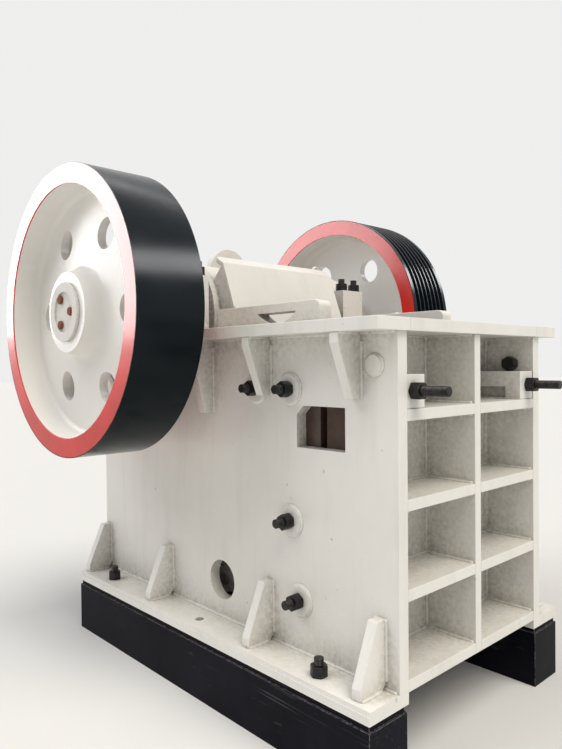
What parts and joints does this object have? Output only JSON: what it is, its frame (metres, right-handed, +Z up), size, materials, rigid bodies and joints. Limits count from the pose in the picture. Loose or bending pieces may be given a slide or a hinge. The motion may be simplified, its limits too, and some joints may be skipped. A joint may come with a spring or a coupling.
{
  "type": "jaw crusher",
  "caption": "Jaw crusher with a ribbed welded frame on a black steel base, a swing jaw on an eccentric shaft, a flywheel and a grooved belt pulley.",
  "frame": {"origin": "middle of the underside of the cross beam under the middle of the frame, on the ground", "axes": "+Z up, +X out of the ribbed front wall, +Y towards the belt pulley"},
  "size_m": [2.155, 2, 2.236],
  "materials": {
    "frame_paint": "satin",
    "base_paint": "semi-gloss",
    "wheel_paint": "glossy",
    "black_steel": "oiled black",
    "manganese_castings": "rough",
    "bare_steel": "machined",
    "rusty_bolts": "rusty"
  },
  "bodies": {
    "frame": {"base_side_beams": "base_paint", "base_cross_beams": "base_paint", "foot_plates": "frame_paint", "foot_bolts": "black_steel", "side_wall_left": "frame_paint", "side_wall_right": "frame_paint", "front_plate": "frame_paint", "front_ribs": "frame_paint", "front_centre_rib": "frame_paint", "rear_plate": "frame_paint", "rear_ribs": "frame_paint", "rear_centre_rib": "frame_paint", "top_flange_sides": "frame_paint", "top_flange_ends": "frame_paint", "foot_gussets": "frame_paint", "flange_gussets": "frame_paint", "saddle_gussets": "frame_paint", "stud_blocks": "frame_paint", "jaw_studs": "black_steel", "wall_rings": "frame_paint", "cheek_bolts": "black_steel", "upper_cheek_plates": "frame_paint", "lower_cheek_plates": "manganese_castings", "fixed_jaw_plate": "manganese_castings", "bearing_seats": "frame_paint", "bearing_caps": "frame_paint", "bearing_covers": "frame_paint", "main_bearings": "bare_steel", "cap_bolts": "black_steel", "toggle_block": "frame_paint", "toggle_guides": "frame_paint", "shim_pack": "bare_steel", "tension_springs": "black_steel"},
    "shaft": {"eccentric_shaft": "bare_steel", "flywheel": "wheel_paint", "belt_pulley": "wheel_paint", "wheel_end_caps": "frame_paint", "end_cap_screws": "rusty_bolts"},
    "jaw": {"swing_jaw": "frame_paint", "jaw_guard": "frame_paint", "lifting_lug": "frame_paint", "moving_jaw_plate": "manganese_castings", "toggle_plate": "manganese_castings", "tension_rods": "bare_steel", "rod_pins": "bare_steel"}
  },
  "joints": [
    {"name": "shaft_spin", "type": "hinge", "parent": "frame", "child": "shaft", "pos_m": [-0.4135, 0, 1.612], "axis": [0, 1, 0], "continuous": true},
    {"name": "jaw_swing", "type": "hinge", "parent": "frame", "child": "jaw", "pos_m": [-0.4135, 0, 1.612], "axis": [0, -1, 0], "range_deg": [0, 1], "deforming": ["tension_springs"]}
  ]
}
